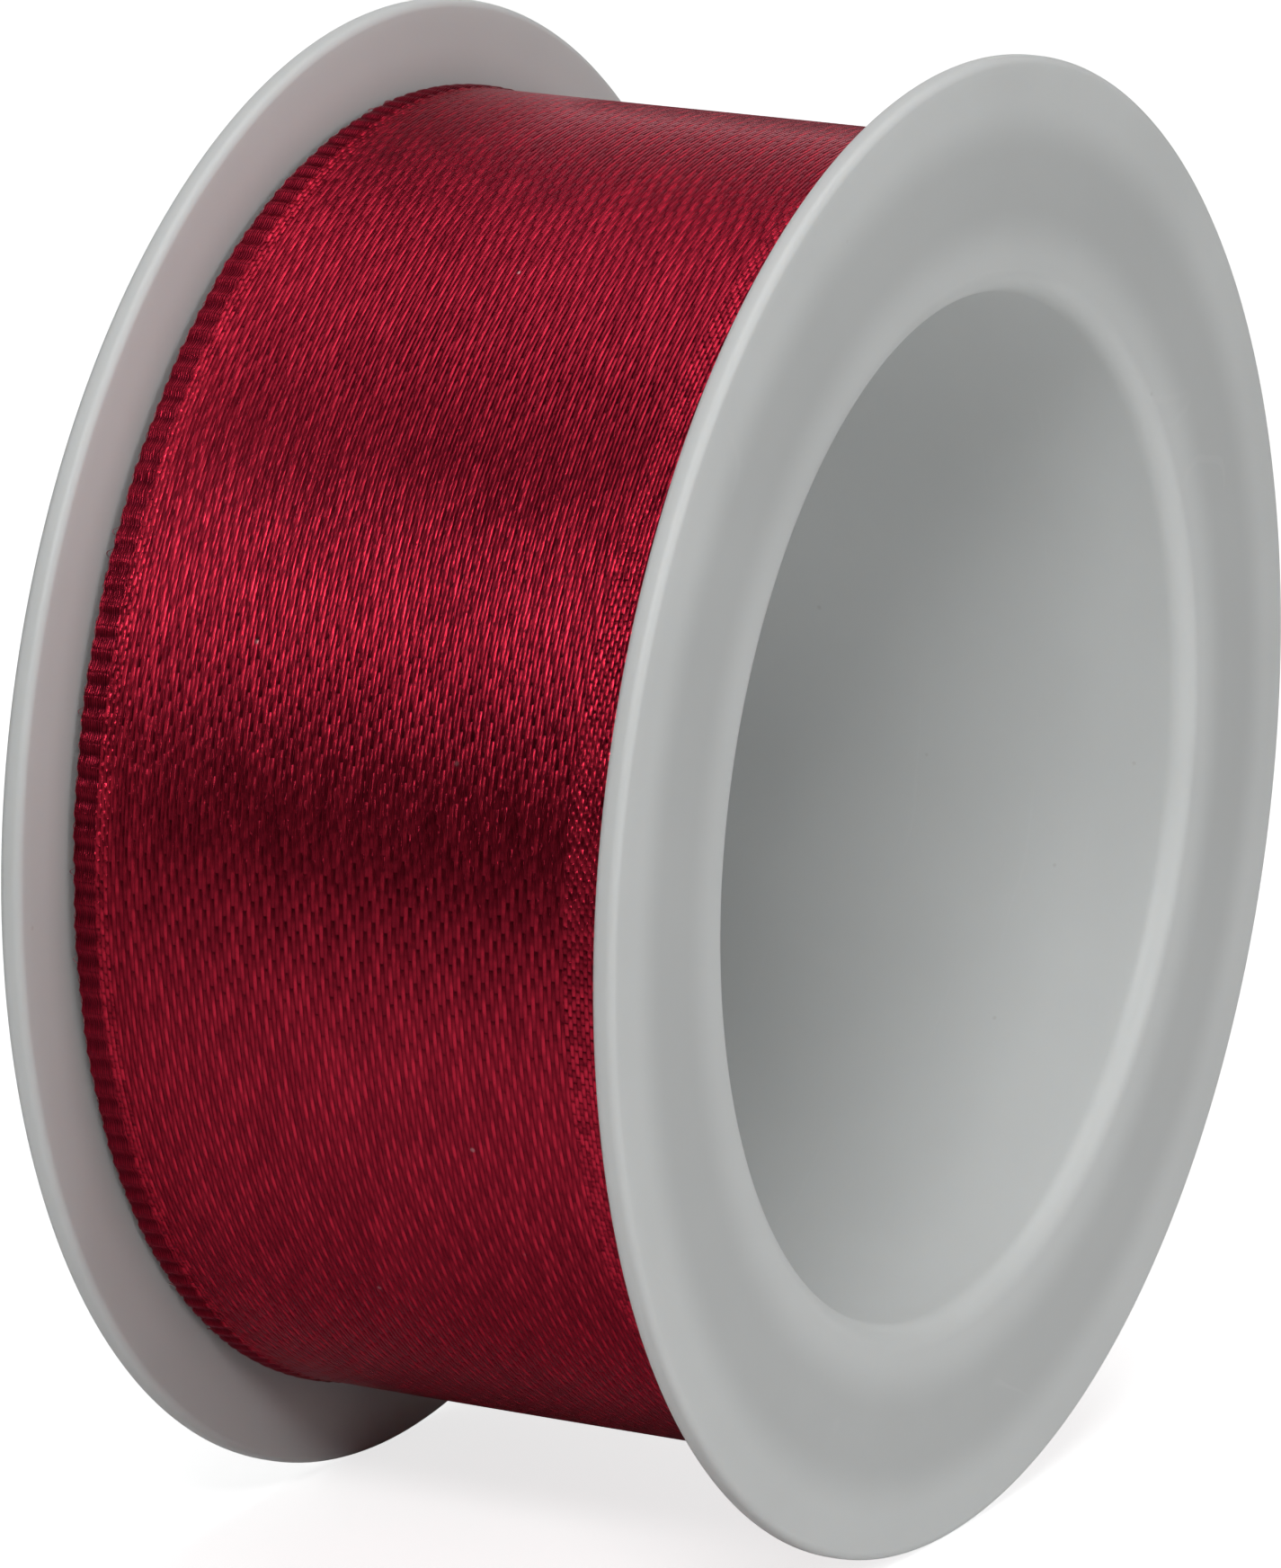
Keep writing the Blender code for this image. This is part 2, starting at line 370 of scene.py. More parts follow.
class Effects:
    """The node groups that the finishes share."""

    def __init__(self) -> None:
        """Build each group once."""
        self.weave = SatinWeave().build()
        self.dust = self.build_dust()
        self.handling = self.build_handling()

    def build_dust(self) -> EffectGroup:
        """Build scattered pale specks of dust and lint, as a mask of the given density.

        Returns:
            A group that puts out a mask of the specks.
        """
        inputs = {"Place": "Vector", "Density": "Float"}
        group = EffectGroup("dust_specks", inputs, {"Mask": "Float"})
        g, given = group.graph, group.source
        cell = g.add("TexVoronoi", {"Vector": given["Place"], "Scale": 900.0}, feature="F1")
        near = g.ramp(cell.outputs["Distance"], 0.05, 0.12, (1.0, 0.0))
        drawn = g.add("SeparateColor", {0: cell.outputs["Color"]}).outputs[0]
        chosen = g.math("LESS_THAN", drawn, given["Density"])
        group.give(Mask=g.math("MULTIPLY", near, chosen))
        return group

    def build_handling(self) -> EffectGroup:
        """Build the faint marks of handling: smudges, and hair-fine scratches.

        Returns:
            A group that puts out a smudge value and a scratch mask for the given place.
        """
        outputs = {"Smudge": "Float", "Scratch": "Float"}
        group = EffectGroup("handling", {"Place": "Vector"}, outputs)
        g, given = group.graph, group.source
        smudge = g.noise(given["Place"], 160.0, 5.0)
        bent = g.add("TexNoise", {"Vector": given["Place"], "Scale": 90.0}).outputs[1]
        skew = g.add("VectorMath", {0: bent, "Scale": 0.004}, operation="SCALE").outputs[0]
        moved = g.add("VectorMath", {0: given["Place"], 1: skew}).outputs[0]
        stretch = {"Rotation": (0.4, 0.3, 0.9), "Scale": (60.0, 4000.0, 60.0)}
        long_way = g.add("Mapping", {"Vector": moved, **stretch})
        line = g.noise(long_way.outputs[0], 1.0, 1.0)
        group.give(Smudge=smudge, Scratch=g.ramp(line, 0.70, 0.76))
        return group


def new_material(name: str, values: dict) -> tuple[Material, Graph, Node]:
    """Make a material, set these inputs, and return it with its graph and Principled shader.

    Args:
        name: The material's name.
        values: Plain values for the shader's inputs, by their names.

    Returns:
        The material, its graph and its Principled shader.
    """
    material = bpy.data.materials.new(name)
    material.use_nodes = True
    shader = material.node_tree.nodes["Principled BSDF"]
    for label, value in values.items():
        shader.inputs[label].default_value = value
    return material, Graph(material.node_tree), shader


# Finishes


@dataclass(frozen=True)
class MouldedPlastic:
    """White moulded polystyrene, a little see-through, with painted shade: greyer where the ribbon
    lies behind it.
    """

    colour: tuple[float, float, float] = (0.795, 0.812, 0.806)
    # Painted shade: a greyer ring of the colour between these radii, where the ribbon lies behind
    # the flange.
    painted_shade_factor: float = 0.84
    winding_inner: float = 0.0238
    winding_outer: float = 0.0275
    fade: tuple[float, float, float] = (0.0012, 0.0006, 0.0018)
    roughness: float = 0.46
    flow_scale: float = 75.0
    flow: tuple[float, float] = (0.975, 1.015)
    scratch: tuple[float, float, float] = (0.90, 0.90, 0.90)
    dust: tuple[float, float, float] = (0.55, 0.53, 0.50)
    dust_density: float = 0.02
    grain_scale: float = 5200.0
    grain_height: float = 0.0000018
    ripple_scale: float = 240.0
    ripple_height: float = 0.000012
    scratch_depth: float = 0.0000015
    depth: float = 0.0007

    def material(self, effects: Effects) -> Material:
        """Return the plastic as a material.

        Args:
            effects: The shared node groups.

        Returns:
            The material.
        """
        values = {"IOR": 1.55, "Subsurface Weight": 0.55, "Subsurface Scale": self.depth}
        values["Subsurface Radius"] = (1.0, 0.92, 0.85)
        material, g, shader = new_material("moulded_plastic", values)
        place = g.add("TexCoord").outputs["Object"]
        axes = g.add("SeparateXYZ", {0: place}).outputs
        squares = [g.math("POWER", axes[number], 2.0) for number in (0, 2)]
        radius = g.math("SQRT", g.math("ADD", *squares))
        # Painted shade: the colour is made greyer in a ring where the ribbon lies behind the
        # see-through flange.
        inner, before, after = self.fade
        starts = g.ramp(radius, self.winding_inner - inner, self.winding_inner + inner)
        ends = g.ramp(radius, self.winding_outer - before, self.winding_outer + after, (1.0, 0.0))
        painted_shade_mask = g.math("MULTIPLY", starts, ends)
        darker = tuple(channel * self.painted_shade_factor for channel in self.colour)
        marks = effects.handling.place(g, {"Place": place}).outputs
        values = {"Place": place, "Density": self.dust_density}
        specks = effects.dust.place(g, values).outputs["Mask"]
        tone = g.mix(painted_shade_mask, (*self.colour, 1.0), (*darker, 1.0))
        flow = g.ramp(g.noise(place, self.flow_scale, 3.0), 0.3, 0.7, self.flow)
        tone = g.mix(1.0, tone, g.join(flow, flow, flow), "MULTIPLY")
        tone = g.mix(g.math("MULTIPLY", marks["Scratch"], 0.10), tone, (*self.scratch, 1.0))
        tone = g.mix(g.math("MULTIPLY", specks, 0.30), tone, (*self.dust, 1.0))
        g.feed(shader.inputs["Base Color"], tone)
        rough = g.math("MULTIPLY_ADD", marks["Smudge"], 0.16, self.roughness - 0.08)
        rough = g.math("MULTIPLY_ADD", marks["Scratch"], -0.05, rough)
        g.feed(shader.inputs["Roughness"], rough)
        height = g.math("MULTIPLY", g.noise(place, self.grain_scale), self.grain_height)
        ripple = g.noise(place, self.ripple_scale)
        height = g.math("MULTIPLY_ADD", ripple, self.ripple_height, height)
        height = g.math("MULTIPLY_ADD", marks["Scratch"], -self.scratch_depth, height)
        g.bump(shader, height)
        return material


@dataclass(frozen=True)
class Satin:
    """Dyed polyester satin: painted highlights on its long floats, painted shade at its bindings.
    """

    # Dark and bright bound the red: the floats' random tone runs between them, and so do the
    # painted shade and the painted highlight.
    dark: tuple[float, float, float] = (0.080, 0.0028, 0.0095)
    bright: tuple[float, float, float] = (0.820, 0.0310, 0.0740)
    warp_pitch: float = 0.000182
    float_length: float = 0.00213
    width: float = 0.025
    least_share: float = 0.30
    float_share: float = 0.80
    bead_share: float = -0.12
    bead_spread: float = 1.9
    streak_scale: tuple[float, float] = (500.0, 60.0)
    streak_share: float = 0.12
    roughness: float = 0.15
    rougher: float = 0.12
    lint_density: float = 0.03
    lint: tuple[float, float, float] = (0.75, 0.42, 0.44)
    metallic: float = 0.90
    edge_tint: tuple[float, float, float] = (1.0, 0.45, 0.52)

    def material(self, effects: Effects) -> Material:
        """Return the satin as a material that follows the ribbon's own UV map.

        Args:
            effects: The shared node groups.

        Returns:
            The material.
        """
        values = {"Metallic": self.metallic, "Specular IOR Level": 0.30}
        values["Specular Tint"] = (*self.edge_tint, 1.0)
        material, g, shader = new_material("wine_satin", values)
        surface = g.add("UVMap", uv_map="lay").outputs[0]
        axes = g.add("SeparateXYZ", {0: surface}).outputs
        values = {"Across": axes[0], "Along": axes[1], "Half width": self.width / 2}
        values |= {"Warp pitch": self.warp_pitch, "Float length": self.float_length}
        weave = effects.weave.place(g, values).outputs
        streak = g.flat_noise(axes[0], axes[1], self.streak_scale, 3.0)
        # The share of bright: each float's random tone and painted highlight, the beads and
        # streaks, times the weave's painted shade.
        share = g.math("MULTIPLY_ADD", weave["Float value"], self.float_share, self.least_share)
        beads = g.math("MULTIPLY_ADD", weave["Float value"], self.bead_spread, self.bead_share)
        share = g.math("MULTIPLY_ADD", weave["Border"], beads, share)
        share = g.math("MULTIPLY_ADD", streak, self.streak_share, share)
        share = g.math("MULTIPLY", share, weave["Shade"], clamp=True)
        tone = g.mix(share, (*self.dark, 1.0), (*self.bright, 1.0))
        place = g.add("TexCoord").outputs["Object"]
        specks = effects.dust.place(g, {"Place": place, "Density": self.lint_density})
        lint = g.math("MULTIPLY", specks.outputs["Mask"], 0.5)
        g.feed(shader.inputs["Base Color"], g.mix(lint, tone, (*self.lint, 1.0)))
        rough = g.math("MULTIPLY_ADD", weave["Float value"], self.rougher, self.roughness)
        g.feed(shader.inputs["Roughness"], rough)
        g.bump(shader, weave["Height"])
        return material


@dataclass(frozen=True)
class EdgeThread:
    """The pale, half clear thread that locks the selvedge's edge."""

    colour: tuple[float, float, float] = (0.42, 0.16, 0.18)
    clear: tuple[float, float, float] = (0.24, 0.03, 0.05)

    def material(self) -> Material:
        """Return the thread as a material.

        Returns:
            The material.
        """
        values = {"Subsurface Weight": 0.2, "Subsurface Scale": 0.0002}
        material, g, shader = new_material("edge_thread", values)
        place = g.add("TexCoord").outputs["Object"]
        share = g.ramp(g.noise(place, 1400.0, 3.0), 0.35, 0.65)
        g.feed(shader.inputs["Base Color"], g.mix(share, (*self.clear, 1.0), (*self.colour, 1.0)))
        g.feed(shader.inputs["Roughness"], g.ramp(share, 0.0, 1.0, (0.45, 0.25)))
        return material


@dataclass(frozen=True)
class ClearFilm:
    """Clear adhesive tape, glossy, with small trapped bubbles."""

    colour: tuple[float, float, float] = (0.86, 0.86, 0.83)

    def material(self) -> Material:
        """Return the film as a material.

        Returns:
            The material.
        """
        material, g, shader = new_material("clear_film", {})
        place = g.add("TexCoord").outputs["Object"]
        bubbles = g.ramp(g.noise(place, 620.0, 4.0), 0.58, 0.70)
        g.feed(shader.inputs["Alpha"], g.ramp(bubbles, 0.0, 1.0, (0.15, 0.24)))
        g.feed(shader.inputs["Roughness"], g.ramp(bubbles, 0.0, 1.0, (0.12, 0.22)))
        tone = g.mix(bubbles, (*self.colour, 1.0), (0.95, 0.93, 0.91, 1.0))
        g.feed(shader.inputs["Base Color"], tone)
        wave = g.math("MULTIPLY", g.noise(place, 190.0, 3.0), 0.00008)
        g.bump(shader, wave, 0.8)
        return material


@dataclass(frozen=True)
class PaleBoard:
    """The pale floor, faintly cloudy, which the eye alone sees lit from within."""

    colour: tuple[float, float, float] = (0.72, 0.72, 0.72)
    glow: float = 0.76

    def material(self) -> Material:
        """Return the floor as a material.

        Returns:
            The material.
        """
        values = {"Roughness": 0.75, "Emission Strength": self.glow}
        material, g, shader = new_material("pale_board", values)
        cloud = g.noise(g.add("TexCoord").outputs["Object"], 3.0, 2.0)
        tone = tuple(channel * 1.02 for channel in self.colour)
        g.feed(shader.inputs["Base Color"], g.mix(cloud, (*self.colour, 1.0), (*tone, 1.0)))
        seen = g.add("LightPath").outputs["Is Camera Ray"]
        g.feed(shader.inputs["Emission Color"], g.join(seen, seen, seen))
        return material


# Modelling helpers


def round_axis(radius: np.ndarray, along: np.ndarray, degrees: np.ndarray) -> np.ndarray:
    """Return points at these radii, places along the axis and angles round it.

    Args:
        radius: The distances from the axis.
        along: The places along the axis.
        degrees: The angles round the axis.

    Returns:
        An array of points, with x, y and z last.
    """
    turn = np.radians(degrees)
    places = np.broadcast_arrays(radius * np.cos(turn), along, radius * np.sin(turn))
    return np.stack(places, axis=-1)


def active_object(name: str) -> Object:
    """Name the object that an operator has just added, and return it.

    Args:
        name: The object's new name.

    Returns:
        The object.
    """
    thing = bpy.context.object
    thing.name = thing.data.name = name
    return thing


def pick_points(thing: Object, wanted: Callable[[Vector], bool]) -> None:
    """Select, in edit mode, just the points whose place passes the test.

    Args:
        thing: The object in edit mode.
        wanted: A test of a point's place.
    """
    points = bmesh.from_edit_mesh(thing.data)
    for point in points.verts:
        point.select = wanted(point.co)
    points.select_flush_mode()
    bmesh.update_edit_mesh(thing.data)


def at(radius: float, along: float) -> Callable[[Vector], bool]:
    """Return a test for the section's point at this radius and place along the axis."""
    return lambda place: abs(place.x - radius) < NEAR and abs(place.y - along) < NEAR


@dataclass
class SweptShape:
    """Rings of points swept into one closed skin, with their places on the cloth."""

    rings: np.ndarray
    lay: np.ndarray
    slot: int = 0
    flat_ends: bool = True

    def faces(self, first: int) -> list[tuple[int, ...]]:
        """Return the skin's faces, counting its points from this number.

        Args:
            first: The number of the skin's first point.

        Returns:
            The faces, each as the numbers of its corners.
        """
        count, around = self.rings.shape[:2]
        start = np.arange(count - 1)[:, None] * around + np.arange(around)[None, :]
        beside = np.arange(count - 1)[:, None] * around + (np.arange(around)[None, :] + 1) % around
        quads = np.stack([start, beside, beside + around, start + around], axis=-1)
        quads = quads.reshape(-1, 4) + first
        last = (count - 1) * around + first
        if not self.flat_ends:
            ends = [tuple(reversed(range(first, first + around)))]
            ends.append(tuple(range(last, last + around)))
            return [tuple(face) for face in quads.tolist()] + ends
        ends = []
        for step in range(around // 2 - 1):
            low, high = step, around - 1 - step
            ends.append((first + low, first + high, first + high - 1, first + low + 1))
            ends.append((last + low, last + low + 1, last + high - 1, last + high))
        return [tuple(face) for face in quads.tolist()] + ends


def skin_object(name: str, shapes: Sequence[SweptShape], materials: Sequence[Material]) -> Object:
    """Make one object of several swept shapes, with the map named lay that the weave follows.

    Args:
        name: The object's name.
        shapes: The shapes, each with the number of its material.
        materials: The materials, in the order of those numbers.

    Returns:
        The new object, smooth except at its sharp corners.
    """
    points, lays, faces, slots = [], [], [], []
    first = 0
    for shape in shapes:
        own = shape.faces(first)
        points.append(shape.rings.reshape(-1, 3))
        lays.append(shape.lay.reshape(-1, 2))
        faces += own
        slots += [shape.slot] * len(own)
        first += len(points[-1])
    mesh = bpy.data.meshes.new(name)
    mesh.from_pydata(np.concatenate(points), [], faces)
    mesh.polygons.foreach_set("material_index", slots)
    corners = np.empty(len(mesh.loops), np.int32)
    mesh.loops.foreach_get("vertex_index", corners)
    layer = mesh.uv_layers.new(name="lay")
    layer.data.foreach_set("uv", np.concatenate(lays)[corners].astype(np.float32).ravel())
    for material in materials:
        mesh.materials.append(material)
    mesh.shade_smooth()
    mesh.set_sharp_from_angle(angle=math.radians(50))
    thing = bpy.data.objects.new(name, mesh)
    bpy.context.scene.collection.objects.link(thing)
    return thing


# The moulded spool


@dataclass(frozen=True)
class WallStep:
    """One ring of a tube's wall: its inner and outer radius, and its place along the axis."""

    inner: float
    outer: float
    along: float


@dataclass
class SpoolHalf:
    """One moulded half: a flange, and the tube or the sleeve that grows from its inner face."""

    name: str
    end: End
    flange_radius: float = 0.031
    flange_thickness: float = 0.001
    inner_face: float = 0.0128
    bore_radius: float = 0.0213
    mouth_radius: float = 0.001
    rim_radius: float = 0.00035
    root_radius: float = 0.0003
    facets: int = 256
    wall: list[WallStep] = field(default_factory=list)

    def build(self, plastic: Material) -> Object:
        """Draw the half's section, round its corners and turn it round the axis.

        Args:
            plastic: The half's material.

        Returns:
            The finished half.
        """
        thing = self.draw_flange()
        for before, after in zip(self.wall, self.wall[1:]):
            self.grow_wall(thing, before, after)
        bpy.ops.mesh.select_all(action="SELECT")
        bpy.ops.mesh.dissolve_faces()
        self.round_corners(thing)
        bpy.ops.mesh.select_all(action="SELECT")
        bpy.ops.mesh.delete(type="ONLY_FACE")
        bpy.ops.mesh.select_all(action="SELECT")
        bpy.ops.mesh.spin(steps=self.facets, angle=math.tau, center=(0, 0, 0), axis=(0, 1, 0))
        bpy.ops.mesh.select_all(action="SELECT")
        bpy.ops.mesh.remove_doubles(threshold=NEAR)
        bpy.ops.mesh.normals_make_consistent(inside=False)
        bpy.ops.object.mode_set(mode="OBJECT")
        bpy.ops.object.shade_smooth_by_angle(angle=math.radians(30))
        thing.data.materials.append(plastic)
        return thing

    def draw_flange(self) -> Object:
        """Draw the flange's section as a rectangle, cut where the wall stands on it.

        Returns:
            The object, left in edit mode.
        """
        direction = self.end.value
        low, high = self.bore_radius, self.flange_radius
        middle = direction * (self.inner_face + self.flange_thickness / 2)
        bpy.ops.object.select_all(action="DESELECT")
        bpy.ops.mesh.primitive_plane_add(size=1.0, location=((low + high) / 2, middle, 0.0))
        thing = active_object(self.name)
        thing.scale = (high - low, self.flange_thickness, 1.0)
        bpy.ops.object.transform_apply(location=True, rotation=True, scale=True)
        bpy.ops.object.mode_set(mode="EDIT")
        bpy.ops.mesh.select_mode(type="VERT")
        for radius in sorted({self.wall[0].inner, self.wall[0].outer} - {self.bore_radius}):
            bpy.ops.mesh.select_all(action="SELECT")
            bpy.ops.mesh.bisect(plane_co=(radius, 0.0, 0.0), plane_no=(1.0, 0.0, 0.0))
        return thing

    def grow_wall(self, thing: Object, before: WallStep, after: WallStep) -> None:
        """Extrude the wall's end from one ring to the next, and move its corners to their radii.

        Args:
            thing: The half, in edit mode.
            before: The ring at which the wall ends now.
            after: The ring to which it grows.
        """
        inner, outer = at(before.inner, before.along), at(before.outer, before.along)
        pick_points(thing, lambda place: inner(place) or outer(place))
        move = {"value": (0.0, after.along - before.along, 0.0)}
        bpy.ops.mesh.extrude_region_move(TRANSFORM_OT_translate=move)
        for old, new in ((before.inner, after.inner), (before.outer, after.outer)):
            if abs(new - old) > NEAR:
                pick_points(thing, at(old, after.along))
                bpy.ops.transform.translate(value=(new - old, 0.0, 0.0))

    def round_corners(self, thing: Object) -> None:
        """Round the bore's mouth, the rim's two edges and the wall's root.

        Args:
            thing: The half, in edit mode.
        """
        direction = self.end.value
        inner = direction * self.inner_face
        outer = inner + direction * self.flange_thickness
        corners = (
            (self.bore_radius, outer, self.mouth_radius, 10),
            (self.flange_radius, outer, self.rim_radius, 6),
            (self.flange_radius, inner, self.rim_radius, 6),
            (self.wall[0].outer, inner, self.root_radius, 4),
        )
        for radius, along, size, steps in corners:
            pick_points(thing, at(radius, along))
            bpy.ops.mesh.bevel(offset=size, segments=steps, affect="VERTICES")


@dataclass
class Spool:
    """The two moulded halves, snapped together through the winding."""

    tube_radius: float = 0.0223
    sleeve_bore: float = 0.0226
    sleeve_radius: float = 0.0236
    tube_end: float = 0.0115
    shoulder: float = 0.0118
    sleeve_end: float = 0.0125
    lead_in: float = 0.0003
    snap_place: float = 0.0085
    snap_width: float = 0.0012
    bead_radius: float = 0.02275
    groove_radius: float = 0.02305
    groove_slack: float = 0.00015

    def build(self, plastic: Material) -> list[Object]:
        """Build both halves and hang them on the spool's body.

        Args:
            plastic: The halves' material.

        Returns:
            The two halves.
        """
        front = SpoolHalf("spool_front", End.FRONT)
        front.wall = self.tube_wall(front)
        rear = SpoolHalf("spool_rear", End.REAR)
        rear.wall = self.sleeve_wall(rear)
        built = []
        for half, node in ((front, "front_spool_half"), (rear, "rear_spool_half")):
            thing = half.build(plastic)
            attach(thing, "spool")
            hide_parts(node)
            LOG.info("%s: %d faces", thing.name, len(thing.data.polygons))
            built.append(thing)
        return built

    def tube_wall(self, half: SpoolHalf) -> list[WallStep]:
        """Return the front half's long tube, with its snap bead and chamfered end.

        Args:
            half: The front half.

        Returns:
            The wall's rings, from the flange to the wall's end.
        """
        bore, tube, bead = half.bore_radius, self.tube_radius, self.bead_radius
        steps = [WallStep(bore, tube, -half.inner_face)]
        for shift, radius in ((-0.5, tube), (-0.25, bead), (0.25, bead), (0.5, tube)):
            steps.append(WallStep(bore, radius, self.snap_place + shift * self.snap_width))
        steps.append(WallStep(bore, tube, self.tube_end - self.lead_in))
        steps.append(WallStep(bore, tube - self.lead_in, self.tube_end))
        return steps

    def sleeve_wall(self, half: SpoolHalf) -> list[WallStep]:
        """Return the rear half's sleeve, with its shoulder, its snap groove and chamfered end.

        Args:
            half: The rear half.

        Returns:
            The wall's rings, from the flange to the wall's end.
        """
        bore, wide, outer = half.bore_radius, self.sleeve_bore, self.sleeve_radius
        steps = [WallStep(bore, outer, half.inner_face), WallStep(bore, outer, self.shoulder)]
        steps.append(WallStep(wide, outer, self.shoulder - NEAR * 4))
        deep = self.groove_radius
        for shift, radius in ((0.5, wide), (0.25, deep), (-0.25, deep), (-0.5, wide)):
            reach = shift * self.snap_width + math.copysign(self.groove_slack, shift)
            steps.append(WallStep(radius, outer, self.snap_place + reach))
        steps.append(WallStep(wide, outer, -self.sleeve_end + self.lead_in))
        steps.append(WallStep(wide + self.lead_in, outer, -self.sleeve_end))
        return steps


# The ribbon


@dataclass(frozen=True)
class RibbonPath:
    """Where the ribbon's middle runs. Distance along it is counted in degrees from its free tip."""

    tip_angle: float = -10.0
    tail: float = 60.0
    outer_radius: float = 0.02735
    under_tail_radius: float = 0.027155
    inner_radius: float = 0.0240
    turns: float = 19.25

    @property
    def end(self) -> float:
        """Return the ribbon's inner end, in degrees from its tip."""
        return 360.0 * self.turns

    def radius(self, degrees: np.ndarray) -> np.ndarray:
        """Return the radius of the ribbon's middle.

        Args:
            degrees: Angles round the spool, counted from the tip.

        Returns:
            The radii in metres.
        """
        marks = (0.0, self.tail, 360.0, self.end)
        radii = (self.outer_radius, self.outer_radius, self.under_tail_radius, self.inner_radius)
        return np.interp(degrees, marks, radii)

    def length(self, degrees: np.ndarray) -> np.ndarray:
        """Return how much ribbon lies between the tip and these places.

        Args:
            degrees: Angles round the spool, counted from the tip.

        Returns:
            The lengths in metres.
        """
        fine = np.arange(0.0, self.end + 2.0, 1.0)
        total = np.concatenate([[0.0], np.cumsum(self.radius(fine[:-1]) * math.radians(1.0))])
        return np.interp(degrees, fine, total)

    def point(self, degrees: float) -> Vector:
        """Return the place of the ribbon's middle there.

        Args:
            degrees: The angle round the spool, counted from the tip.

        Returns:
            The place in metres.
        """
        radius = self.radius(np.array(degrees))
        place = round_axis(radius, np.array(0.0), np.array(self.tip_angle + degrees))
        return Vector(place.tolist())


@dataclass
class Ribbon:
    """The whole ribbon: its inner turns, the turn that shows, and its free end."""

    path: RibbonPath = RibbonPath()
    width: float = 0.025
    thickness: float = 0.00016
    edge_thickness: float = 0.00011
    rib_pitch: float = RIB_PITCH
    rib_height: float = 0.000110
    scallop: float = 0.000045
    loop_pitch: float = 0.00046
    loop_reach: float = 0.00005
    longest_loop: float = 0.00024
    thread_radius: float = 0.000022
    unevenness: float = 0.000018
    stretch: float = 15.0
    shown_end: float = 422.0
    inset_columns: tuple[float, ...] = (0.0, 0.00008, 0.00028, 0.00056, 0.00084, 0.00102, 0.00130)
    middle_columns: int = 9

    def build(self, satin: Material, thread: Material) -> None:
        """Build every stretch of the ribbon, and hang the inner turns and the turn that shows on
        the spool.

        Args:
            satin: The ribbon's material.
            thread: The edge thread's material.
        """
        inner = self.inner_turns(satin)
        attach(inner, "spool")
        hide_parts("ribbon_winding")
        self.declare(self.shown_end, self.path.end)
        shown = self.woven("ribbon_last_turn", self.path.tail, self.shown_end, satin, thread)
        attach(shown, "spool")
        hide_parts("ribbon_outer_turn")
        free_end = self.build_free_end(satin, thread)
        self.declare(self.path.tail, self.shown_end)

    def build_free_end(self, satin: Material, thread: Material) -> list[Object]:
        """Build the free end in four stretches that meet midway between its hinges.

        Args:
            satin: The ribbon's material.
            thread: The edge thread's material.

        Returns:
            The four stretches, from the wound turns to the tip.
        """
        built = []
        half = self.stretch / 2
        for number in range(4):
            hinge = self.path.tail - number * self.stretch
            high = hinge if number == 0 else hinge + half
            low = 0.0 if number == 3 else hinge - half
            piece = self.woven(f"ribbon_free_end_{number + 1}", low, high, satin, thread)
            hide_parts(f"ribbon_tail_{number + 1}")
            start, stop = self.path.point(hinge), self.path.point(hinge - half)
            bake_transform(piece)
            LOG.info("%s: %d faces", piece.name, len(piece.data.polygons))
            built.append(piece)
        return built

    def declare(self, low: float, high: float) -> None:
        """Work out how much ribbon lies before each end of a stretch; the lengths are not kept.

        Args:
            low: The angle at which it starts, counted from the tip.
            high: The angle at which it ends.
        """
        lengths = self.path.length(np.array([low, high]))

    def columns(self) -> np.ndarray:
        """Return the places across the ribbon at which its skin has points.

        Returns:
            The places in metres, from the front edge to the rear one.
        """
        half = self.width / 2
        edge = half - np.array(self.inset_columns)
        middle = np.linspace(-edge[-1], edge[-1], self.middle_columns + 2)[1:-1]
        return np.concatenate([-edge, middle, edge[::-1]])

    def edge_reach(self, along: np.ndarray, side: int) -> np.ndarray:
        """Return how far the scalloped edge stands out from its straight line.

        Args:
            along: Places along the ribbon.
            side: Minus one for the front edge, or one for the rear edge.

        Returns:
            The reach in metres at each place.
        """
        wander = 0.00002 * np.sin(along * 310.0 + side)
        wander += 0.000015 * np.sin(along * 1270.0 + 2 * side)
        wave = np.cos(math.tau * along / self.rib_pitch)
        return wander + self.scallop * (0.5 * wave - 0.5)

    def woven(
        self, name: str, low: float, high: float, satin: Material, thread: Material
    ) -> Object:
        """Make a stretch whose selvedges have their ribs, scallops and edge thread.

        Args:
            name: The stretch's name.
            low: Its end nearer the ribbon's tip, in degrees along the ribbon.
            high: Its other end.
            satin: The ribbon's material.
            thread: The edge thread's material.

        Returns:
            The stretch.
        """
        reach = float(np.diff(self.path.length(np.array([low, high])))[0])
        degrees = np.linspace(low, high, max(8, round(8 * reach / self.rib_pitch)) + 1)
        strip = self.strip(degrees, self.columns(), self.rib_height)
        threads = [self.edge_thread(low, high, side) for side in (-1, 1)]
        return skin_object(name, [strip, *threads], [satin, thread])

    def inner_turns(self, satin: Material) -> Object:
        """Make the turns under the one that shows, as one plain spiral strip.

        Args:
            satin: The ribbon's material.

        Returns:
            The object.
        """
        count = round((self.path.end - self.shown_end) / 4.0)
        degrees = np.linspace(self.shown_end, self.path.end, count + 1)
        columns = np.linspace(-self.width / 2, self.width / 2, 5)
        return skin_object("ribbon_inner_turns", [self.strip(degrees, columns, 0.0)], [satin])

